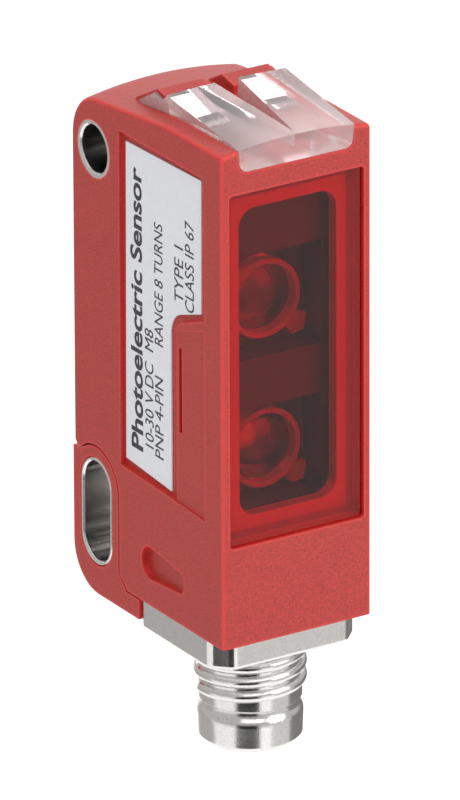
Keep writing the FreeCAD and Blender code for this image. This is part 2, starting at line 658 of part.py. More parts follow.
def lens(name, centre):
    """A plano-convex lens with a rim, a collar round it and a clip tab at its lower right."""
    rim = rod(name + "_rim", "lens_radius", "1.0", ("0", "-carrier_back - 1.35", "-" + centre), "y")
    sphere = ball(name + "_sphere", "dome_radius",
                  ("0", "-carrier_back - 2.6 + dome_radius", "-" + centre))
    front = rod(name + "_front", "2.3", "1.6", ("0", "-carrier_back - 2.7", "-" + centre), "y")
    return fuse(name + "_body", rim, common(name + "_dome", sphere, front))


def lens_clip(name, centre):
    """A snap ring in front of the lens rim, with its tab."""
    outer = rod(name + "_outer", "2.72", "1.0", ("0", "-carrier_back - 2.4", "-" + centre), "y")
    inner = rod(name + "_inner", "2.35", "3", ("0", "-carrier_back - 3.4", "-" + centre), "y")
    tab = prism(name + "_tab", "XZ_Plane", [
        ("1.55", "-2.05"), ("2.2", "-1.3"), ("3.3", "-1.75"), ("3.05", "-2.85"), ("2.2", "-3.0"),
    ], "0.7", symmetric=False, shift=("0", "-carrier_back - 1.55", "-" + centre))
    return cut(name + "_body", fuse(name + "_solid", outer, tab), inner)


def aperture_plate():
    """The stop behind the receiver lens, with its round aperture."""
    disc = rod("aperture_disc", "lens_radius - 0.05", "0.25",
               ("0", "-carrier_back - 0.3", "-upper_lens"), "y")
    hole = rod("aperture_hole", "1.4", "2", ("0", "-carrier_back - 1", "-upper_lens"), "y")
    return cut("aperture_plate_body", disc, hole)


def transmitter_led():
    """The red emitter: a domed body on a flange, with two leads to the board."""
    body = rod("emitter_body", "1.45", "1.2", ("0", "-8.25", "-lower_lens"), "y")
    dome = ball("emitter_dome", "1.2", ("0", "-8.25", "-lower_lens"))
    flange = rod("emitter_flange", "1.75", "0.5", ("0", "-7.1", "-lower_lens"), "y")
    leads = [box("emitter_lead_%s" % side, ("%s - 0.2" % place, "-6.7", "-lower_lens - 0.2"),
                 ("%s + 0.2" % place, "-board_front", "-lower_lens + 0.2"))
             for side, place in (("left", "-0.64"), ("right", "0.64"))]
    return fuse("transmitter_led_body", body, dome, flange, *leads)


# ---------------------------------------------------------------- distance setting

def adjusting_spindle():
    """The slotted setting screw in the rear wall, with its long thin thread."""
    profile = [
        ("0", "head_back"), ("head_radius - 0.15", "head_back"), ("head_radius", "head_back - 0.15"),
        ("head_radius", "head_back - 0.8"), ("1.35", "head_back - 0.8"), ("1.35", "head_back - 1.45"),
        ("head_radius", "head_back - 1.45"), ("head_radius", "head_back - head_length"),
        ("screw_radius", "head_back - head_length - 0.4"), ("screw_radius", "-screw_end + 0.2"),
        ("screw_radius - 0.2", "-screw_end"), ("0", "-screw_end"),
    ]
    shaft = turned("spindle_shaft", profile, ("0", "0", "-spindle_z"), "y")
    slot = box("spindle_slot", ("-2", "head_back - 0.55", "-spindle_z - 0.22"),
               ("2", "head_back + 1", "-spindle_z + 0.22"))
    return cut("adjusting_spindle_body", shaft, slot)


def spindle_seal():
    """The small O-ring in the spindle head's groove."""
    ring = doc.addObject("Part::Torus", "spindle_seal_body")
    ring.Placement = FreeCAD.Placement(ORIGIN, TURNS["y"])
    ring.setExpression("Radius1", formula("1.62"))
    ring.setExpression("Radius2", formula("0.24"))
    return put(ring, ("0", "head_back - 1.13", "-spindle_z"))


def mirror_carriage():
    """The nut block that the spindle drives along the housing."""
    low = "-spindle_z - carriage_tall / 2"
    high = "-spindle_z + carriage_tall / 2"
    block = box("carriage_block", ("-carriage_half", "-carriage_back - carriage_length", low),
                ("carriage_half", "-carriage_back", high))
    seat = prism("carriage_seat", "YZ_Plane", [
        ("-carriage_back - carriage_length", "%s - 0.1" % high), ("-carriage_back", "%s - 0.1" % high),
        ("-carriage_back", "%s + 0.2" % high), ("-carriage_back - carriage_length + 0.6", "%s + 0.2" % high),
    ], "4.4")
    bore = rod("carriage_bore", "screw_bore", "8", ("0", "-11", "-spindle_z"), "y")
    return cut("mirror_carriage_body", fuse("carriage_solid", block, seat), bore)


def deflecting_mirror():
    """The small front-silvered mirror, leaning at 45 degrees on the carriage."""
    return prism("deflecting_mirror_body", "YZ_Plane", [
        ("-carriage_back - 1.6", "-spindle_z + carriage_tall / 2 + 0.2"),
        ("-carriage_back - 1.1", "-spindle_z + carriage_tall / 2 + 0.2"),
        ("-carriage_back - 0.02", "-spindle_z + carriage_tall / 2 + 1.28"),
        ("-carriage_back - 0.02", "-spindle_z + carriage_tall / 2 + 1.78"),
    ], "4")


# ---------------------------------------------------------------- electronics

def circuit_board():
    plate = box("board_plate", ("-board_half", "-board_front", "-27.3"),
                ("board_half", "-board_front + board_thick", "0.6"))
    passage = rod("board_passage", "1.4", "4", ("0", "-6", "-spindle_z"), "y")
    return cut("circuit_board_body", plate, passage)


def connector_board():
    """The little board that the four contacts are soldered into."""
    plate = box("connector_plate", ("-3.6", "-13.2", "-26.6"), ("3.6", "-5.6", "-25.9"))
    holes = [contact("connector_hole_%d" % n, n, "pin_radius") for n in range(4)]
    return cut("connector_board_body", plate, *holes)


def flex_ribbon():
    """The flat flexible link from the connector board to the circuit board."""
    return prism("flex_ribbon_body", "YZ_Plane", [
        ("-7.4", "-25.9"), ("-5.0", "-25.9"), ("-4.6", "-25.6"), ("-4.4", "-25.1"), ("-4.4", "-23.5"),
        ("-4.55", "-23.5"), ("-4.55", "-25.1"), ("-4.7", "-25.5"), ("-5.05", "-25.75"), ("-7.4", "-25.75"),
    ], "5")


def indicator_board():
    """The board across the top that carries both indicator lamps."""
    return box("indicator_board_body", ("-3.9", "-11.6", "-0.2"), ("3.9", "-board_front", "0.4"))


def indicator(name, sign):
    """A flat lamp package with its lens dome, below one foot of the light guide."""
    place = "%sfoot_spread" % sign
    package = box(name + "_package", (place + " - 0.8", "-10.1", "0.4"), (place + " + 0.8", "-8.9", "0.9"))
    dome = rod(name + "_dome", "0.5", "0.25", (place, "-9.5", "0.85"))
    return fuse(name + "_body", package, dome)


def receiver_board():
    return box("receiver_board_body", ("-3.7", "-8.6", "-3.0"), ("3.7", "-board_front", "-2.4"))


def receiver_detector():
    """The two-zone photodiode that hangs from the receiver board, above the mirror."""
    package = box("detector_package", ("-1.5", "-7.8", "-3.8"), ("1.5", "-5.2", "-3.0"))
    zones = [box("detector_zone_%s" % side, (low, "-7.2", "-3.95"), (high, "-5.8", "-3.8"))
             for side, low, high in (("near", "-1.1", "-0.06"), ("far", "0.06", "1.1"))]
    return fuse("receiver_detector_body", package, *zones)


def shield_can():
    """The drawn tinplate can over the amplifier, open towards the board."""
    outer = box("can_outer", ("-3.2", "-3.6", "-6.9"), ("3.2", "-1.9", "-3.7"))
    inner = box("can_inner", ("-3.0", "-4", "-6.7"), ("3.0", "-2.1", "-3.9"))
    return cut("shield_can_body", outer, inner)


def amplifier_chip():
    return box("amplifier_chip_body", ("-1.6", "-3.6", "-6.2"), ("1.6", "-2.7", "-4.4"))


def controller_chip():
    """The control chip behind the board, with its row of side leads."""
    package = box("controller_package", ("-2.2", "-3.5", "-18.6"), ("2.2", "-2.6", "-14.2"))
    leads = [box("controller_lead_%s%d" % (side, n), (low, "-3.6", "-18.3 + %.1f" % (0.7 * n)),
                 (high, "-3.3", "-18.0 + %.1f" % (0.7 * n)))
             for side, low, high in (("left", "-2.9", "-2.2"), ("right", "2.2", "2.9")) for n in range(6)]
    return fuse("controller_chip_body", package, *leads)


def small_components():
    """The resistors and capacitors on the board's front, as one group."""
    rows = [("-3.2", "-25.0"), ("-3.2", "-23.4"), ("3.2", "-25.0"), ("3.2", "-23.4"),
            ("-3.2", "-13.4"), ("3.2", "-13.4"), ("-3.4", "-6.0"), ("3.4", "-6.0")]
    return fuse("small_components_body", *[
        box("component_%d" % n, (x + " - 0.4", "-board_front - 0.45", z),
            (x + " + 0.4", "-board_front", z + " + 0.8"))
        for n, (x, z) in enumerate(rows)])


# ---------------------------------------------------------------- assembly

keep("main_housing", main_housing())
keep("rear_foot", rear_foot())
keep("upper_sleeve", upper_sleeve())
keep("lower_slotted_sleeve", lower_sleeve())
keep("filter_window", filter_window())
keep("window_adhesive", window_adhesive())
keep("light_guide", light_guide())
keep("type_label", type_label())
keep("connector_body", connector_body())
keep("contact_carrier", contact_carrier())
keep("contact_pins", contact_pins())
keep("connector_seal", connector_seal())
keep("optics_carrier", optics_carrier())
keep("receiver_lens", lens("receiver_lens", "upper_lens"))
keep("transmitter_lens", lens("transmitter_lens", "lower_lens"))
keep("receiver_lens_clip", lens_clip("receiver_lens_clip", "upper_lens"))
keep("transmitter_lens_clip", lens_clip("transmitter_lens_clip", "lower_lens"))
keep("aperture_plate", aperture_plate())
keep("transmitter_led", transmitter_led())
keep("adjusting_spindle", adjusting_spindle())
keep("spindle_seal", spindle_seal())
keep("mirror_carriage", mirror_carriage())
keep("deflecting_mirror", deflecting_mirror())
keep("circuit_board", circuit_board())
keep("connector_board", connector_board())
keep("flex_ribbon", flex_ribbon())
keep("indicator_board", indicator_board())
keep("power_indicator", indicator("power_indicator", "-"))
keep("output_indicator", indicator("output_indicator", ""))
keep("receiver_board", receiver_board())
keep("receiver_detector", receiver_detector())
keep("shield_can", shield_can())
keep("amplifier_chip", amplifier_chip())
keep("controller_chip", controller_chip())
keep("small_components", small_components())

doc.recompute()
for item in doc.Objects:
    if "Invalid" in item.State or "Error" in item.State:
        raise RuntimeError("%s did not recompute: %s" % (item.Label, item.State))
for item in sub_parts:
    if item.Shape.isNull() or not item.Shape.isValid():
        raise RuntimeError("%s has no valid shape" % item.Label)

os.makedirs("parts", exist_ok=True)
for item in sub_parts:
    item.Shape.exportStep("parts/%s.step" % item.Label)
    print("%-24s %2d solids %9.2f mm3" % (item.Label, len(item.Shape.Solids), item.Shape.Volume))
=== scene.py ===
import math

import bmesh
import bpy
from mathutils import Matrix, Vector


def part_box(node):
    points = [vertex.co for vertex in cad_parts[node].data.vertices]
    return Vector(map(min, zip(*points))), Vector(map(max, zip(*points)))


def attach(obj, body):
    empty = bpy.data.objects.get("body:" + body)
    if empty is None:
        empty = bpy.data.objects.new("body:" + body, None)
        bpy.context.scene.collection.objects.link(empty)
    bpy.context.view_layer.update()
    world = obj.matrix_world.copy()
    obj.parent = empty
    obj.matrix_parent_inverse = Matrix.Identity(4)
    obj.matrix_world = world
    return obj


bl_info = {
    "name": "Photoelectric sensor",
    "version": (1, 0, 0),
    "blender": (4, 5, 0),
    "location": "3D View > Sidebar > Sensor",
    "description": "Finishes, label print and studio for a compact photoelectric sensor",
    "category": "Object",
}

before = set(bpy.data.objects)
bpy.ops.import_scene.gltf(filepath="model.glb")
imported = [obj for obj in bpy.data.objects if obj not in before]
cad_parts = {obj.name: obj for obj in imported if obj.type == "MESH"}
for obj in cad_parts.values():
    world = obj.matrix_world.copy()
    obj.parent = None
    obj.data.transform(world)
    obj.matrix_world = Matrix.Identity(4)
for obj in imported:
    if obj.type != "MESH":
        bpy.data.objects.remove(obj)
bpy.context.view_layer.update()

MM = 0.001
SENSOR_BODY = "sensor_body"

# The housing's skin, in millimetres. A real spark-eroded grain is under 0.1 mm across. It is drawn a
# little coarser, so that it shows.
GRAIN_SIZE = 0.13
GRAIN_PIT_SIZE = 0.22
GRAIN_DEPTH = 0.026
CLOUD_SIZE = 3.0
EASED_EDGE = 0.09
# How far in the painted edge highlight and the painted crevice shade reach, in millimetres.
EDGE_HIGHLIGHT_REACH = 0.42
CREVICE_SHADE_REACH = 1.2
PBT_IOR = 1.55

# A normal that is rounded over the edges has a largest part of 1 on a flat side and 0.7 on a square
# edge. The painted edge highlight starts and is full at these values of it, and then covers this share of
# the red.
EDGE_HIGHLIGHT_STARTS = 0.975
EDGE_HIGHLIGHT_FULL = 0.82
EDGE_HIGHLIGHT_SHARE = 0.8

# The painted crevice shade starts and is full where this share of the surroundings is still open.
CREVICE_SHADE_STARTS = 0.55
CREVICE_SHADE_FULL = 0.15

# Nickel plating, in millimetres. Its real texture is finer and is drawn coarser, so that it shows.
PEEL_SIZE = 0.12
TURNED_PEEL_DEPTH = 0.004
CAST_PEEL_DEPTH = 0.009
DULL_PATCH_SIZE = 1.2
PLATED_EDGE = 0.05

# Clear plastics, in millimetres, with their refractive indices.
FLOW_LINE_SIZE = 1.5
FLOW_LINE_DEPTH = 0.02
ETCH_SIZE = 0.16
SCUFF_SIZE = 0.8
SCUFF_DEPTH = 0.002
PMMA_IOR = 1.49
PC_IOR = 1.58

# What the pane mirrors when it is seen square on, and how fast that grows towards a grazing view.
PANE_MIRROR_SHARE = 0.052
PANE_MIRROR_POWER = 5.0

# The light guide is clear this far behind its front lip, and milkiest at the lip itself.
GUIDE_CLEAR_FROM = 6.5 * MM
GUIDE_MILKY_TO = 0.5 * MM
GUIDE_LEAST_HAZE = 0.03
GUIDE_MOST_HAZE = 0.24
GUIDE_ETCHED_SHARE = 0.6
CLIP_HAZE = 0.22

# The etching starts and is full where a wall's normal points this much sideways.
CHEEK_STARTS = 0.75
CHEEK_FULL = 0.9

# The light that a clear plastic passes on to what lies behind it.
SHADE_OF_CLEAR_PLASTIC = (0.9, 0.9, 0.9, 1.0)

# The print lies on the film as a thin relief. The built-in font's capitals are 0.7 of its size.
PRINT_RELIEF = 0.006 * MM
PRINT_LIFT = 0.004 * MM
CAPITAL_SHARE = 0.7
LABEL_LINES = (
    # Each row: words, capital height in print heights, baseline in millimetres from the label's rear
    # edge, start in millimetres above its lowest edge, letter width and added stroke weight.
    ("Photoelectric Sensor", 1.0, 2.05, 1.4, 1.2, 0.035),
    ("10-30 V DC  M8", 0.76, 3.4, 1.9, 0.86, 0.0),
    ("PNP 4-PIN", 0.76, 4.6, 1.7, 0.9, 0.0),
    ("RANGE 8 TURNS", 0.76, 4.6, 9.6, 0.78, 0.0),
    ("TYPE 1", 0.8, 7.1, 13.5, 0.9, 0.0),
    ("CLASS IP 67", 0.8, 8.4, 13.2, 0.8, 0.0),
)

# The camera looks at the sensor's middle from the front left, a little above. Its very long lens keeps
# parallel edges nearly parallel.
SENSOR_MIDDLE = Vector((0.0, -6.35, -16.0)) * MM
CAMERA_AZIMUTH = -32.1
CAMERA_ELEVATION = 22.45
CAMERA_ROLL = math.radians(-0.23)
CAMERA_DISTANCE = 0.9
CAMERA_LENS = 624.4
CAMERA_SENSOR_WIDTH = 36
CAMERA_NEAREST = 0.01
CAMERA_FARTHEST = 20
CAMERA_OFFSET = (0.55 * MM, -0.557 * MM)

# The cards are only seen in mirrors: they give the plated metal its dark and bright bands.
CARD_DISTANCE = 0.34
MIRROR_CARDS = (
    # Each row: name, azimuth and elevation in degrees, width and height in metres, tone.
    ("dark_card_front", -37, -22, (0.29, 0.34), "#060606"),
    ("grey_card_left", -150, -24, (0.40, 0.26), "#B4B2B0"),
    ("pale_card_right", 39, -24, (0.26, 0.26), "#E0DEDC"),
    ("grey_card_right", 98, -24, (0.49, 0.26), "#807E7C"),
)
SOFT_BOXES = (
    # Each row: name, the setting with its power, azimuth and elevation in degrees, distance in metres,
    # width and height in metres.
    ("key_soft_box", "key_power", 30, 30, 0.55, (0.35, 0.5)),
    ("top_soft_box", "top_power", -60, 75, 0.5, (0.4, 0.4)),
    ("front_soft_box", "front_power", -24, 38, 0.5, (0.4, 0.14)),
    ("back_soft_box", "back_power", 148, 24, 0.5, (0.5, 0.3)),
)
FLOOR_WIDTH = 6.0
PAPER_GLOW = 0.35
PAPER_FIBRE_SIZE = 4.0


# ---------------------------------------------------------------- colours and nodes

def linear(hex_colour, alpha=1.0):
    """An sRGB hex colour as the linear RGBA that shaders take."""
    channels = [int(hex_colour.lstrip("#")[n:n + 2], 16) / 255 for n in (0, 2, 4)]
    straight = [c / 12.92 if c <= 0.04045 else ((c + 0.055) / 1.055) ** 2.4 for c in channels]
    return (*straight, alpha)


def shade(colour, gain):
    """The colour made darker or lighter by a factor, still opaque."""
    return [min(1.0, channel * gain) for channel in colour[:3]] + [1.0]


def per_metre(size_mm):
    """Texture scale for a pattern whose features are about this many millimetres."""
    return 1.0 / (size_mm * MM)


def add_node(tree, kind, settings=None, inputs=None, links=None, stops=None):
    """One node with its settings, plain input values, incoming links and colour ramp stops."""
    node = tree.nodes.new(kind)
    for name, value in (settings or {}).items():
        setattr(node, name, value)
    for name, value in (inputs or {}).items():
        node.inputs[name].default_value = value
    for name, source in (links or {}).items():
        tree.links.new(source, node.inputs[name])
    if stops:
        elements = node.color_ramp.elements
        elements[0].position, elements[0].color = stops[0]
        elements[1].position, elements[1].color = stops[-1]
        for position, colour in stops[1:-1]:
            elements.new(position).color = colour
    return node


def new_material(name):
    """A node material, its tree, its output node and the place on the object that patterns start from."""
    material = bpy.data.materials.new(name)
    material.use_nodes = True
    tree = material.node_tree
    tree.nodes.clear()
    output = add_node(tree, "ShaderNodeOutputMaterial")
    place = add_node(tree, "ShaderNodeTexCoord").outputs["Object"]
    return material, tree, output, place


# ---------------------------------------------------------------- materials

def moulded_red_pbt(name, colour, edge_highlight_colour, crevice_shade_colour):
    """Glass-filled PBT, injection moulded in a spark-eroded tool.

    Reads as a semi-matt red skin with a fine grain. A painted highlight makes the red purer and brighter
    along the edges, and painted shade deepens it in crevices, where light only reaches by way of other red
    walls."""
    material, tree, output, place = new_material(name)
    grain = add_node(
        tree, "ShaderNodeTexNoise", links={"Vector": place},
        inputs={"Scale": per_metre(GRAIN_SIZE), "Detail": 3.0, "Roughness": 0.65}).outputs["Fac"]
    cloud = add_node(
        tree, "ShaderNodeTexNoise", links={"Vector": place},
        inputs={"Scale": per_metre(CLOUD_SIZE), "Detail": 2.0}).outputs["Fac"]
    pits = add_node(
        tree, "ShaderNodeTexVoronoi", links={"Vector": place},
        inputs={"Scale": per_metre(GRAIN_PIT_SIZE), "Randomness": 1.0}).outputs["Distance"]

    base = linear(colour)
    grained = add_node(
        tree, "ShaderNodeValToRGB", links={"Fac": grain},
        stops=[(0.3, shade(base, 0.6)), (0.5, base), (0.72, shade(base, 1.42))]).outputs["Color"]
    clouded = add_node(
        tree, "ShaderNodeValToRGB", links={"Fac": cloud},
        stops=[(0.3, (0.8, 0.8, 0.8, 1)), (0.7, (1, 1, 1, 1))]).outputs["Color"]
    soft = add_node(
        tree, "ShaderNodeMix", {"data_type": "RGBA", "blend_type": "MULTIPLY"},
        {"Factor": 0.25}, {"A": grained, "B": clouded}).outputs["Result"]

    # Painted edge highlight: a normal rounded over the edges leans away from all three axes only near them,
    # and there the red is painted purer and brighter.
    rounded = add_node(
        tree, "ShaderNodeBevel", {"samples": 6}, {"Radius": EDGE_HIGHLIGHT_REACH * MM}).outputs["Normal"]
    lean = add_node(
        tree, "ShaderNodeVectorMath", {"operation": "ABSOLUTE"}, links={0: rounded}).outputs["Vector"]
    axes = add_node(tree, "ShaderNodeSeparateXYZ", links={"Vector": lean}).outputs
    level = add_node(
        tree, "ShaderNodeMath", {"operation": "MAXIMUM"},
        links={0: axes["X"], 1: axes["Y"]}).outputs["Value"]
    squareness = add_node(
        tree, "ShaderNodeMath", {"operation": "MAXIMUM"},
        links={0: level, 1: axes["Z"]}).outputs["Value"]
    edge_highlight = add_node(
        tree, "ShaderNodeMapRange", links={"Value": squareness}, inputs={
            "From Min": EDGE_HIGHLIGHT_STARTS, "From Max": EDGE_HIGHLIGHT_FULL,
            "To Min": 0.0, "To Max": EDGE_HIGHLIGHT_SHARE}).outputs["Result"]
    highlighted = add_node(
        tree, "ShaderNodeMix", {"data_type": "RGBA"}, {"B": linear(edge_highlight_colour)},
        {"Factor": edge_highlight, "A": soft}).outputs["Result"]

    # Painted crevice shade: where little of the surroundings is open, the red is painted deeper, standing
    # in for shade and for red light bounced between walls.
    open_share = add_node(
        tree, "ShaderNodeAmbientOcclusion", {"samples": 6},
        {"Distance": CREVICE_SHADE_REACH * MM}).outputs["AO"]
    depth = add_node(
        tree, "ShaderNodeMapRange", links={"Value": open_share}, inputs={
            "From Min": CREVICE_SHADE_STARTS, "From Max": CREVICE_SHADE_FULL,
            "To Min": 0.0, "To Max": 1.0}).outputs["Result"]
    skin = add_node(
        tree, "ShaderNodeMix", {"data_type": "RGBA"}, {"B": linear(crevice_shade_colour)},
        {"Factor": depth, "A": highlighted}).outputs["Result"]

    pit_height = add_node(
        tree, "ShaderNodeMapRange", links={"Value": pits},
        inputs={"To Min": 0.0, "To Max": 0.6}).outputs["Result"]
    height = add_node(
        tree, "ShaderNodeMath", {"operation": "ADD"},
        links={0: grain, 1: pit_height}).outputs["Value"]
    eased = add_node(
        tree, "ShaderNodeBevel", {"samples": 4}, {"Radius": EASED_EDGE * MM}).outputs["Normal"]
    bump = add_node(
        tree, "ShaderNodeBump", inputs={"Strength": 0.8, "Distance": GRAIN_DEPTH * MM},
        links={"Height": height, "Normal": eased}).outputs["Normal"]
    roughness = add_node(
        tree, "ShaderNodeMapRange", links={"Value": grain},
        inputs={"To Min": 0.42, "To Max": 0.64}).outputs["Result"]
    shader = add_node(
        tree, "ShaderNodeBsdfPrincipled", inputs={"IOR": PBT_IOR},
        links={"Base Color": skin, "Normal": bump, "Roughness": roughness})
    tree.links.new(shader.outputs["BSDF"], output.inputs["Surface"])
    return material


def nickel_plate(name, colour, mean_roughness, peel_depth, speckle):
    """Nickel plating over turned steel or die-cast zinc.

    Reads as a neutral grey mirror, broken up by fine orange peel, small dull specks and duller patches."""
    material, tree, output, place = new_material(name)
    peel = add_node(
        tree, "ShaderNodeTexNoise", links={"Vector": place},
        inputs={"Scale": per_metre(PEEL_SIZE), "Detail": 3.0, "Roughness": 0.65}).outputs["Fac"]
    dull = add_node(
        tree, "ShaderNodeTexNoise", links={"Vector": place},
        inputs={"Scale": per_metre(DULL_PATCH_SIZE), "Detail": 4.0}).outputs["Fac"]
    base = linear(colour)
    tint = add_node(
        tree, "ShaderNodeValToRGB", links={"Fac": peel},
        stops=[(0.3, shade(base, 1 - speckle)), (0.6, base)]).outputs["Color"]
    eased = add_node(
        tree, "ShaderNodeBevel", {"samples": 4}, {"Radius": PLATED_EDGE * MM}).outputs["Normal"]
    bump = add_node(
        tree, "ShaderNodeBump", inputs={"Strength": 0.6, "Distance": peel_depth * MM},
        links={"Height": peel, "Normal": eased}).outputs["Normal"]
    roughness = add_node(
        tree, "ShaderNodeMapRange", links={"Value": dull},
        inputs={"To Min": mean_roughness * 0.7, "To Max": mean_roughness * 1.3}).outputs["Result"]
    shader = add_node(
        tree, "ShaderNodeBsdfPrincipled", inputs={"Metallic": 1.0},
        links={"Base Color": tint, "Normal": bump, "Roughness": roughness})
    tree.links.new(shader.outputs["BSDF"], output.inputs["Surface"])
    return material


def tinted_layer(name, tint, gloss_roughness):
    """A thin see-through layer, such as the moulded pane or the bead of adhesive behind it.

    What lies behind shows through its tint, unbent, with a mirror sheen on the outer side that faint
    scuffs break up. The tint is the share of each colour that passes."""
    material, tree, output, place = new_material(name)
    scuffs = add_node(
        tree, "ShaderNodeTexNoise", links={"Vector": place},
        inputs={"Scale": per_metre(SCUFF_SIZE), "Detail": 5.0}).outputs["Fac"]
    stain = add_node(
        tree, "ShaderNodeValToRGB", links={"Fac": scuffs},
        stops=[(0.2, shade(tint, 0.95)), (0.7, tint)]).outputs["Color"]
    clear = add_node(tree, "ShaderNodeBsdfTransparent", links={"Color": stain}).outputs["BSDF"]
    bump = add_node(
        tree, "ShaderNodeBump", inputs={"Strength": 0.3, "Distance": SCUFF_DEPTH * MM},
        links={"Height": scuffs}).outputs["Normal"]
    sheen = add_node(
        tree, "ShaderNodeBsdfGlossy", inputs={"Roughness": gloss_roughness},
        links={"Normal": bump}).outputs["BSDF"]
    slant = add_node(tree, "ShaderNodeLayerWeight", inputs={"Blend": 0.5}).outputs["Facing"]
    steep = add_node(
        tree, "ShaderNodeMath", {"operation": "POWER"}, {1: PANE_MIRROR_POWER}, {0: slant}).outputs["Value"]
    mirrored = add_node(
        tree, "ShaderNodeMapRange", links={"Value": steep},
        inputs={"To Min": PANE_MIRROR_SHARE, "To Max": 1.0}).outputs["Result"]
    inner_side = add_node(tree, "ShaderNodeNewGeometry").outputs["Backfacing"]
    outer_side = add_node(
        tree, "ShaderNodeMapRange", links={"Value": inner_side},
        inputs={"To Min": 1.0, "To Max": 0.0}).outputs["Result"]
    share = add_node(
        tree, "ShaderNodeMath", {"operation": "MULTIPLY"},
        links={0: mirrored, 1: outer_side}).outputs["Value"]
    mix = add_node(tree, "ShaderNodeMixShader", links={0: share, 1: clear, 2: sheen})
    tree.links.new(mix.outputs["Shader"], output.inputs["Surface"])
    return material


def polished_clear_pc(name, colour, mean_roughness, haze=0.0):
    """Polycarbonate, injection moulded in a polished tool.

    Reads as solid clear plastic that bends what lies behind it, with faint flow lines and, where it is
    hazed, a milky body. Lamps reach what lies behind it, so its shadows stay light."""
    material, tree, output, place = new_material(name)
    flow = add_node(
        tree, "ShaderNodeTexNoise", links={"Vector": place},
        inputs={"Scale": per_metre(FLOW_LINE_SIZE), "Detail": 3.0}).outputs["Fac"]
    bump = add_node(
        tree, "ShaderNodeBump", inputs={"Strength": 0.35, "Distance": FLOW_LINE_DEPTH * MM},
        links={"Height": flow}).outputs["Normal"]
    base = linear(colour)
    tint = add_node(
        tree, "ShaderNodeValToRGB", links={"Fac": flow},
        stops=[(0.2, shade(base, 0.97)), (0.7, base)]).outputs["Color"]
    roughness = add_node(
        tree, "ShaderNodeMapRange", links={"Value": flow},
        inputs={"To Min": mean_roughness * 0.6, "To Max": mean_roughness * 1.4}).outputs["Result"]
    glass = add_node(
        tree, "ShaderNodeBsdfPrincipled", inputs={"IOR": PC_IOR, "Transmission Weight": 1.0 - haze},
        links={"Base Color": tint, "Roughness": roughness, "Normal": bump}).outputs["BSDF"]
    lamp_ray = add_node(tree, "ShaderNodeLightPath").outputs["Is Shadow Ray"]
    clear = add_node(
        tree, "ShaderNodeBsdfTransparent", inputs={"Color": SHADE_OF_CLEAR_PLASTIC}).outputs["BSDF"]
    mix = add_node(tree, "ShaderNodeMixShader", links={0: lamp_ray, 1: glass, 2: clear})
    tree.links.new(mix.outputs["Shader"], output.inputs["Surface"])
    return material


def etched_clear_pmma(name, colour, clear_at, milky_at):
    """The light guide's PMMA, injection moulded, with etched side walls and a frosted underside.

    Reads as bright and clear at the ridge, softly milky towards the front lip and speckled on its cheeks.
    clear_at and milky_at are the places along Y between which the milkiness grows."""
    material, tree, output, place = new_material(name)
    flow = add_node(
        tree, "ShaderNodeTexNoise", links={"Vector": place},
        inputs={"Scale": per_metre(FLOW_LINE_SIZE), "Detail": 3.0}).outputs["Fac"]
    etch = add_node(
        tree, "ShaderNodeTexNoise", links={"Vector": place},
        inputs={"Scale": per_metre(ETCH_SIZE), "Detail": 4.0, "Roughness": 0.7}).outputs["Fac"]

    # The cheeks are the walls that face sideways.
    wall_normal = add_node(tree, "ShaderNodeNewGeometry").outputs["Normal"]
    facing = add_node(tree, "ShaderNodeSeparateXYZ", links={"Vector": wall_normal}).outputs["X"]
    sideways = add_node(
        tree, "ShaderNodeMath", {"operation": "ABSOLUTE"}, links={0: facing}).outputs["Value"]
    cheek = add_node(
        tree, "ShaderNodeMapRange", links={"Value": sideways}, inputs={
            "From Min": CHEEK_STARTS, "From Max": CHEEK_FULL,
            "To Min": 0.0, "To Max": GUIDE_ETCHED_SHARE}).outputs["Result"]
    speckle = add_node(
        tree, "ShaderNodeMath", {"operation": "MULTIPLY"}, links={0: cheek, 1: etch}).outputs["Value"]

    along = add_node(tree, "ShaderNodeSeparateXYZ", links={"Vector": place}).outputs["Y"]
    milky = add_node(
        tree, "ShaderNodeMapRange", links={"Value": along}, inputs={
            "From Min": clear_at, "From Max": milky_at,
            "To Min": GUIDE_LEAST_HAZE, "To Max": GUIDE_MOST_HAZE}).outputs["Result"]
    drift = add_node(
        tree, "ShaderNodeMapRange", links={"Value": flow},
        inputs={"To Min": 0.6, "To Max": 1.4}).outputs["Result"]
    swirl = add_node(
        tree, "ShaderNodeMath", {"operation": "MULTIPLY"}, links={0: milky, 1: drift}).outputs["Value"]
    veil = add_node(
        tree, "ShaderNodeMath", {"operation": "MAXIMUM"}, links={0: swirl, 1: speckle}).outputs["Value"]

    bump = add_node(
        tree, "ShaderNodeBump", inputs={"Strength": 0.35, "Distance": FLOW_LINE_DEPTH * MM},
        links={"Height": flow}).outputs["Normal"]
    base = linear(colour)
    tint = add_node(
        tree, "ShaderNodeValToRGB", links={"Fac": flow},
        stops=[(0.2, shade(base, 0.97)), (0.7, base)]).outputs["Color"]
    clearness = add_node(
        tree, "ShaderNodeMapRange", links={"Value": veil},
        inputs={"To Min": 1.0, "To Max": 0.0}).outputs["Result"]
    roughness = add_node(
        tree, "ShaderNodeMapRange", links={"Value": veil},
        inputs={"To Min": 0.03, "To Max": 0.5}).outputs["Result"]
    glass = add_node(
        tree, "ShaderNodeBsdfPrincipled", inputs={"IOR": PMMA_IOR},
        links={"Base Color": tint, "Transmission Weight": clearness,
               "Roughness": roughness, "Normal": bump}).outputs["BSDF"]
    lamp_ray = add_node(tree, "ShaderNodeLightPath").outputs["Is Shadow Ray"]
    clear = add_node(
        tree, "ShaderNodeBsdfTransparent", inputs={"Color": SHADE_OF_CLEAR_PLASTIC}).outputs["BSDF"]
    mix = add_node(tree, "ShaderNodeMixShader", links={0: lamp_ray, 1: glass, 2: clear})
    tree.links.new(mix.outputs["Shader"], output.inputs["Surface"])
    return material


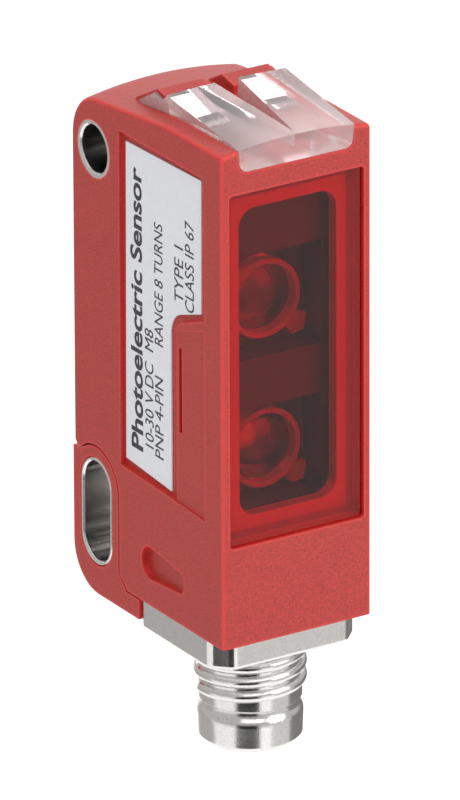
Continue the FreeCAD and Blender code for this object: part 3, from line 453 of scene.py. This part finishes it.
def mottled_skin(name, colour, mean_roughness, grain_mm, grain_depth, contrast=0.12, metallic=0.0):
    """A small moulded, printed or plated part, or a film.

    Reads as one colour with a fine mottle. The grain is drawn coarser than the real one, so that it
    shows on so small a part."""
    material, tree, output, place = new_material(name)
    grain = add_node(
        tree, "ShaderNodeTexNoise", links={"Vector": place},
        inputs={"Scale": per_metre(grain_mm), "Detail": 4.0}).outputs["Fac"]
    base = linear(colour)
    tint = add_node(
        tree, "ShaderNodeValToRGB", links={"Fac": grain},
        stops=[(0.3, shade(base, 1 - contrast)), (0.7, shade(base, 1 + contrast))]).outputs["Color"]
    bump = add_node(
        tree, "ShaderNodeBump", inputs={"Strength": 0.5, "Distance": grain_depth * MM},
        links={"Height": grain}).outputs["Normal"]
    roughness = add_node(
        tree, "ShaderNodeMapRange", links={"Value": grain},
        inputs={"To Min": mean_roughness * 0.8, "To Max": mean_roughness * 1.2}).outputs["Result"]
    shader = add_node(
        tree, "ShaderNodeBsdfPrincipled", inputs={"Metallic": metallic},
        links={"Base Color": tint, "Normal": bump, "Roughness": roughness})
    tree.links.new(shader.outputs["BSDF"], output.inputs["Surface"])
    return material


INNER_FINISHES = (
    # Each row: material, colour, roughness, grain size and depth in millimetres, contrast, metallic, and
    # the nodes that it dresses.
    # Printed resist over copper tracks: a satin, slightly uneven deep green.
    ("Green solder resist printed", "#1E5A34", 0.35, 0.4, 0.006, 0.12, 0.0,
     ("circuit_board", "connector_board", "indicator_board", "receiver_board")),
    # Transfer moulded epoxy: a dull near-black with a sandy bloom.
    ("Black epoxy transfer moulded", "#1C1C1F", 0.5, 0.12, 0.006, 0.12, 0.0,
     ("amplifier_chip", "controller_chip", "receiver_detector")),
    # Moulded rubber with a film of grease: a soft black with a faint shine.
    ("Black NBR rubber greased", "#121212", 0.45, 0.3, 0.004, 0.12, 0.0,
     ("connector_seal", "spindle_seal")),
    # Drawn tinplate: a pale grey metal with a soft shine.
    ("Tinned steel sheet drawn", "#B9B7B1", 0.28, 0.3, 0.004, 0.12, 1.0, ("shield_can",)),
    # Fired ceramic with terminations: mottled brown.
    ("Ceramic chip parts fired", "#7A644C", 0.4, 0.3, 0.006, 0.3, 0.0, ("small_components",)),
    # Cast film: smooth amber.
    ("Amber polyimide film cast", "#B06A1E", 0.25, 0.5, 0.003, 0.12, 0.0, ("flex_ribbon",)),
    # Cast epoxy lamps: glossy and evenly tinted.
    ("Green epoxy lamp cast", "#7BD68C", 0.2, 0.4, 0.003, 0.12, 0.0, ("power_indicator",)),
    ("Yellow epoxy lamp cast", "#F0C84A", 0.2, 0.4, 0.003, 0.12, 0.0, ("output_indicator",)),
    # Moulded polyamide: a matt black that shows a fine grain.
    ("Black PA insulator moulded", "#1A1A1C", 0.5, 0.2, 0.008, 0.12, 0.0, ("contact_carrier",)),
    # Turned brass under a thin gold flash: a warm bright yellow metal.
    ("Gold flashed brass turned", "#E0B45C", 0.2, 0.15, 0.003, 0.12, 1.0, ("contact_pins",)),
    # Turned brass left bright: a deeper yellow metal with a slightly dull shine.
    ("Brass turned bright", "#C9A24E", 0.25, 0.1, 0.004, 0.12, 1.0, ("adjusting_spindle",)),
    # Moulded acetal: a waxy white.
    ("White POM moulded", "#E4E2DC", 0.4, 0.3, 0.005, 0.12, 0.0, ("mirror_carriage",)),
    # Glass silvered on its front: a clean mirror.
    ("Front silvered glass", "#E6E8EA", 0.03, 1.0, 0.0005, 0.02, 1.0, ("deflecting_mirror",)),
)


def dress(node, material):
    """Gives a CAD node's object one material."""
    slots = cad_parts[node].data.materials
    slots.clear()
    slots.append(material)


# ---------------------------------------------------------------- settings

class SensorSettings(bpy.types.PropertyGroup):
    """Colours and sizes of the sensor itself"""
    housing_colour: bpy.props.StringProperty(
        name="Housing colour", description="sRGB hex of the moulded housing", default="#AC2A22")
    # Painted highlight: the purer, brighter red that is painted along the housing's edges.
    edge_highlight_colour: bpy.props.StringProperty(
        name="Edge colour", description="sRGB hex of the housing's polished edges", default="#DC3730")
    # Painted shade: the deeper red that is painted into the housing's narrow gaps.
    crevice_shade_colour: bpy.props.StringProperty(
        name="Crevice colour", description="sRGB hex of the housing in its narrow gaps", default="#C4141A")
    filter_tint: bpy.props.FloatVectorProperty(
        name="Filter tint", description="Share of the red, green and blue light that the window passes",
        default=(0.95, 0.006, 0.01), size=3, min=0.0, max=1.0, subtype="COLOR")
    guide_colour: bpy.props.StringProperty(
        name="Light guide colour", description="sRGB hex of the clear light guide", default="#ECDCDB")
    label_colour: bpy.props.StringProperty(
        name="Label colour", description="sRGB hex of the label film", default="#DADBE0")
    ink_colour: bpy.props.StringProperty(
        name="Print colour", description="sRGB hex of the label's print", default="#2E2E33")
    nickel_colour: bpy.props.StringProperty(
        name="Nickel colour", description="sRGB hex of the plated metal", default="#DEDCDA")
    print_height: bpy.props.FloatProperty(
        name="Print height", description="Cap height of the label's main line",
        default=1.35 * MM, unit="LENGTH", subtype="DISTANCE")


class StudioSettings(bpy.types.PropertyGroup):
    """Brightness of the room and its lamps, and the floor's depth"""
    world_light: bpy.props.FloatProperty(
        name="Room light", description="Brightness of the even light all round", default=0.62)
    key_power: bpy.props.FloatProperty(
        name="Key power", description="Power of the soft box at the front right",
        default=1.3, unit="POWER")
    top_power: bpy.props.FloatProperty(
        name="Top power", description="Power of the soft box overhead", default=0.9, unit="POWER")
    front_power: bpy.props.FloatProperty(
        name="Front power", description="Power of the wide, low soft box above the camera",
        default=0.3, unit="POWER")
    back_power: bpy.props.FloatProperty(
        name="Back power", description="Power of the soft box behind, which sheens the roof",
        default=0.62, unit="POWER")
    floor_depth: bpy.props.FloatProperty(
        name="Floor depth", description="How far the floor lies below the mounting bore",
        default=0.22, unit="LENGTH", subtype="DISTANCE")


# ---------------------------------------------------------------- operators

class SENSOR_OT_housing(bpy.types.Operator):
    """Give the housing and its foot their moulded red skin"""
    bl_idname = "sensor.housing"
    bl_label = "Housing"

    def execute(self, context):
        settings = context.scene.sensor_settings
        skin = moulded_red_pbt("Red PBT moulded spark-eroded grain", settings.housing_colour,
                               settings.edge_highlight_colour, settings.crevice_shade_colour)
        for node in ("main_housing", "rear_foot"):
            dress(node, skin)
        return {"FINISHED"}


class SENSOR_OT_metalwork(bpy.types.Operator):
    """Give the sleeves and the plug their nickel plating"""
    bl_idname = "sensor.metalwork"
    bl_label = "Sleeves and plug"

    def execute(self, context):
        colour = context.scene.sensor_settings.nickel_colour
        # Turned steel plates smoothly, and die-cast zinc keeps more peel and more specks.
        sleeve = nickel_plate("Nickel plated turned steel", colour, 0.17, TURNED_PEEL_DEPTH, 0.10)
        cast = nickel_plate("Nickel plated die-cast zinc", colour, 0.17, CAST_PEEL_DEPTH, 0.2)
        for node in ("upper_sleeve", "lower_slotted_sleeve"):
            dress(node, sleeve)
        dress("connector_body", cast)
        return {"FINISHED"}


class SENSOR_OT_window(bpy.types.Operator):
    """Give the filter pane, its adhesive and the light guide their clear plastics"""
    bl_idname = "sensor.window"
    bl_label = "Window and light guide"

    def execute(self, context):
        settings = context.scene.sensor_settings
        # Moulded in a polished tool: dark red and glossy, with the optics dimly visible behind it.
        pane = tinted_layer("Dark red PMMA polished", (*settings.filter_tint, 1.0), 0.05)
        dress("filter_window", pane)
        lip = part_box("light_guide")[0].y
        guide = etched_clear_pmma("Clear PMMA moulded", settings.guide_colour,
                                  lip + GUIDE_CLEAR_FROM, lip + GUIDE_MILKY_TO)
        dress("light_guide", guide)
        # Cured from a liquid bead: nearly colourless, with a soft shine.
        adhesive = tinted_layer("Clear adhesive cured", linear("#F8F4F0"), 0.2)
        dress("window_adhesive", adhesive)
        return {"FINISHED"}


class SENSOR_OT_optics(bpy.types.Operator):
    """Dress the optics behind the window"""
    bl_idname = "sensor.optics"
    bl_label = "Optics"

    def execute(self, context):
        # Moulded matt: a warm dark grey that stays black behind the red pane.
        carrier = mottled_skin("Black PC moulded matt", "#4B4342", 0.38, 0.25, 0.01)
        dress("optics_carrier", carrier)
        # Polished: clear and bright-edged.
        lens = polished_clear_pc("Clear PC lens polished", "#FFFAF8", 0.01)
        for node in ("receiver_lens", "transmitter_lens"):
            dress(node, lens)
        # Moulded and a little milky, so that the rings catch the light.
        clip = polished_clear_pc("Translucent PC clip moulded", "#FFF2F0", 0.05, CLIP_HAZE)
        for node in ("receiver_lens_clip", "transmitter_lens_clip"):
            dress(node, clip)
        # Chemically blackened: a dull black metal that swallows stray light.
        stop = mottled_skin("Steel blackened", "#151515", 0.4, 0.2, 0.004, metallic=1.0)
        dress("aperture_plate", stop)
        # Cast epoxy: a glossy deep red.
        emitter = mottled_skin("Red epoxy emitter cast", "#B02A22", 0.15, 0.5, 0.003)
        dress("transmitter_led", emitter)
        return {"FINISHED"}


class SENSOR_OT_electronics(bpy.types.Operator):
    """Dress the boards, chips, contacts and the range setting inside"""
    bl_idname = "sensor.electronics"
    bl_label = "Electronics and setting"

    def execute(self, context):
        for name, colour, roughness, grain, depth, contrast, metallic, nodes in INNER_FINISHES:
            finish = mottled_skin(name, colour, roughness, grain, depth, contrast, metallic)
            for node in nodes:
                dress(node, finish)
        return {"FINISHED"}


def printed_words(name, words, height, weight):
    """Flat raised lettering as a mesh, its baseline along X from the origin."""
    curve = bpy.data.curves.new(name + "_text", "FONT")
    curve.body = words
    curve.size = height / CAPITAL_SHARE
    curve.extrude = PRINT_RELIEF
    curve.offset = weight * height
    curve.resolution_u = 6
    holder = bpy.data.objects.new(name + "_text", curve)
    bpy.context.scene.collection.objects.link(holder)
    bpy.context.view_layer.update()
    mesh = bpy.data.meshes.new_from_object(holder.evaluated_get(bpy.context.evaluated_depsgraph_get()))
    bpy.data.objects.remove(holder)
    piece = bpy.data.objects.new(name, mesh)
    bpy.context.scene.collection.objects.link(piece)
    return piece


class SENSOR_OT_label(bpy.types.Operator):
    """Dress the label and print its generic lines"""
    bl_idname = "sensor.label"
    bl_label = "Label"

    def execute(self, context):
        settings = context.scene.sensor_settings
        # Coated film: an even, cool light grey with a satin shine.
        film = mottled_skin("Satin polyester label film", settings.label_colour, 0.38, 0.35, 0.003, 0.025)
        dress("type_label", film)
        # Wax-resin ribbon print: a matt, slightly uneven near-black.
        ink = mottled_skin("Black thermal transfer print", settings.ink_colour, 0.45, 0.12, 0.003, 0.2)
        low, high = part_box("type_label")
        # Turns lettering that reads along X in the XY plane to read upwards on the left side.
        turn = Matrix(((0, 0, -1), (0, 1, 0), (1, 0, 0))).to_4x4()
        for number, (words, share, back, up, stretch, weight) in enumerate(LABEL_LINES, start=1):
            piece = printed_words("label_print_%d" % number, words, settings.print_height * share, weight)
            place = Vector((low.x - PRINT_LIFT, high.y - back * MM, low.z + up * MM))
            piece.data.transform(Matrix.Translation(place) @ turn @ Matrix.Diagonal((stretch, 1, 1, 1)))
            piece.data.materials.clear()
            piece.data.materials.append(ink)
            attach(piece, SENSOR_BODY)
        return {"FINISHED"}


class SENSOR_OT_studio(bpy.types.Operator):
    """Make the floor, the soft lights and the camera"""
    bl_idname = "sensor.studio"
    bl_label = "Studio"

    def execute(self, context):
        settings = context.scene.studio_settings
        make_room(context.scene, settings)
        make_lights(context.scene, settings)
        make_camera(context.scene)
        return {"FINISHED"}


# ---------------------------------------------------------------- studio

def direction(azimuth, elevation):
    """The unit vector from the sensor, for angles in degrees."""
    a, e = math.radians(azimuth), math.radians(elevation)
    return Vector((math.sin(a) * math.cos(e), -math.cos(a) * math.cos(e), math.sin(e)))


def stand_round(thing, azimuth, elevation, distance):
    """Stands a card or a lamp off from the sensor's middle and turns it square to it."""
    back = direction(azimuth, elevation)
    thing.location = SENSOR_MIDDLE + back * distance
    thing.rotation_euler = back.to_track_quat("Z", "Y").to_euler()


def flat_sheet(name, width, depth):
    """A plain rectangle about its own middle."""
    mesh = bpy.data.meshes.new(name)
    net = bmesh.new()
    corners = ((-1, -1), (1, -1), (1, 1), (-1, 1))
    net.faces.new([net.verts.new((x * width / 2, y * depth / 2, 0)) for x, y in corners])
    net.to_mesh(mesh)
    net.free()
    sheet = bpy.data.objects.new(name, mesh)
    bpy.context.scene.collection.objects.link(sheet)
    return sheet


def white_paper():
    """Uncoated paper, matt and lit from within a little, so that the floor stays evenly white."""
    material, tree, output, place = new_material("White paper sweep")
    # Real fibres are far finer: 4 mm clouds stand in for them at this distance.
    fibre = add_node(
        tree, "ShaderNodeTexNoise", links={"Vector": place},
        inputs={"Scale": per_metre(PAPER_FIBRE_SIZE)}).outputs["Fac"]
    tint = add_node(
        tree, "ShaderNodeValToRGB", links={"Fac": fibre},
        stops=[(0.3, linear("#F6F6F6")), (0.7, linear("#FAFAFA"))]).outputs["Color"]
    paper = add_node(
        tree, "ShaderNodeBsdfPrincipled", links={"Base Color": tint}, inputs={
            "Roughness": 0.9, "Emission Color": linear("#FFFFFF"), "Emission Strength": PAPER_GLOW})
    tree.links.new(paper.outputs["BSDF"], output.inputs["Surface"])
    return material


def make_room(scene, settings):
    """The pale floor, the even light all round, and the dark and grey cards that metal mirrors."""
    world = bpy.data.worlds.new("Even white room")
    world.use_nodes = True
    backdrop = world.node_tree.nodes["Background"]
    backdrop.inputs["Color"].default_value = linear("#FFFFFF")
    backdrop.inputs["Strength"].default_value = settings.world_light
    scene.world = world
    floor = flat_sheet("floor", FLOOR_WIDTH, FLOOR_WIDTH)
    floor.location = (0, 0, -settings.floor_depth)
    floor.data.materials.append(white_paper())
    for name, azimuth, elevation, size, tone in MIRROR_CARDS:
        card = flat_sheet(name, *size)
        stand_round(card, azimuth, elevation, CARD_DISTANCE)
        # Flocked: fully matt, so that a card mirrors as one even tone.
        card.data.materials.append(mottled_skin("Flocked card " + name, tone, 0.9, 1.0, 0.01))
        for kind in ("camera", "diffuse", "transmission", "shadow"):
            setattr(card, "visible_" + kind, False)


def make_lights(scene, settings):
    """The soft boxes, as rectangular area lights that face the sensor."""
    for name, power, azimuth, elevation, distance, size in SOFT_BOXES:
        lamp = bpy.data.lights.new(name, "AREA")
        lamp.shape = "RECTANGLE"
        lamp.size, lamp.size_y = size
        lamp.energy = getattr(settings, power)
        light = bpy.data.objects.new(name, lamp)
        stand_round(light, azimuth, elevation, distance)
        scene.collection.objects.link(light)


def make_camera(scene):
    """The long-lens camera, rolled and shifted a little about the sensor's middle."""
    data = bpy.data.cameras.new("camera")
    data.lens = CAMERA_LENS
    data.sensor_width = CAMERA_SENSOR_WIDTH
    data.clip_start = CAMERA_NEAREST
    data.clip_end = CAMERA_FARTHEST
    camera = bpy.data.objects.new("camera", data)
    scene.collection.objects.link(camera)
    back = direction(CAMERA_AZIMUTH, CAMERA_ELEVATION)
    right = Vector((0, 0, 1)).cross(back).normalized()
    up = back.cross(right)
    turned_right = right * math.cos(CAMERA_ROLL) + up * math.sin(CAMERA_ROLL)
    turned_up = up * math.cos(CAMERA_ROLL) - right * math.sin(CAMERA_ROLL)
    target = SENSOR_MIDDLE + turned_right * CAMERA_OFFSET[0] + turned_up * CAMERA_OFFSET[1]
    turn = Matrix((turned_right, turned_up, back)).transposed().to_quaternion()
    camera.matrix_world = Matrix.LocRotScale(target + back * CAMERA_DISTANCE, turn, (1, 1, 1))
    scene.camera = camera
    scene.view_settings.view_transform = "Standard"


# ---------------------------------------------------------------- panel and registration

OPERATORS = (
    SENSOR_OT_housing, SENSOR_OT_metalwork, SENSOR_OT_window, SENSOR_OT_optics, SENSOR_OT_electronics,
    SENSOR_OT_label, SENSOR_OT_studio,
)


class SENSOR_PT_panel(bpy.types.Panel):
    """Lists the sensor's settings and steps"""
    bl_idname = "SENSOR_PT_panel"
    bl_label = "Photoelectric sensor"
    bl_space_type = "VIEW_3D"
    bl_region_type = "UI"
    bl_category = "Sensor"

    def draw(self, context):
        for group in (context.scene.sensor_settings, context.scene.studio_settings):
            for name in group.__annotations__:
                self.layout.prop(group, name)
        for step in OPERATORS:
            self.layout.operator(step.bl_idname)


CLASSES = (SensorSettings, StudioSettings, *OPERATORS, SENSOR_PT_panel)


def register():
    """Adds the settings, the steps and the panel to Blender."""
    for item in CLASSES:
        bpy.utils.register_class(item)
    bpy.types.Scene.sensor_settings = bpy.props.PointerProperty(type=SensorSettings)
    bpy.types.Scene.studio_settings = bpy.props.PointerProperty(type=StudioSettings)


def unregister():
    """Takes them out again."""
    del bpy.types.Scene.sensor_settings
    del bpy.types.Scene.studio_settings
    for item in reversed(CLASSES):
        bpy.utils.unregister_class(item)


def main():
    """Builds the whole scene in order."""
    register()
    bpy.ops.sensor.housing()
    bpy.ops.sensor.metalwork()
    bpy.ops.sensor.window()
    bpy.ops.sensor.optics()
    bpy.ops.sensor.electronics()
    bpy.ops.sensor.label()
    bpy.ops.sensor.studio()


if __name__ == "__main__":
    main()
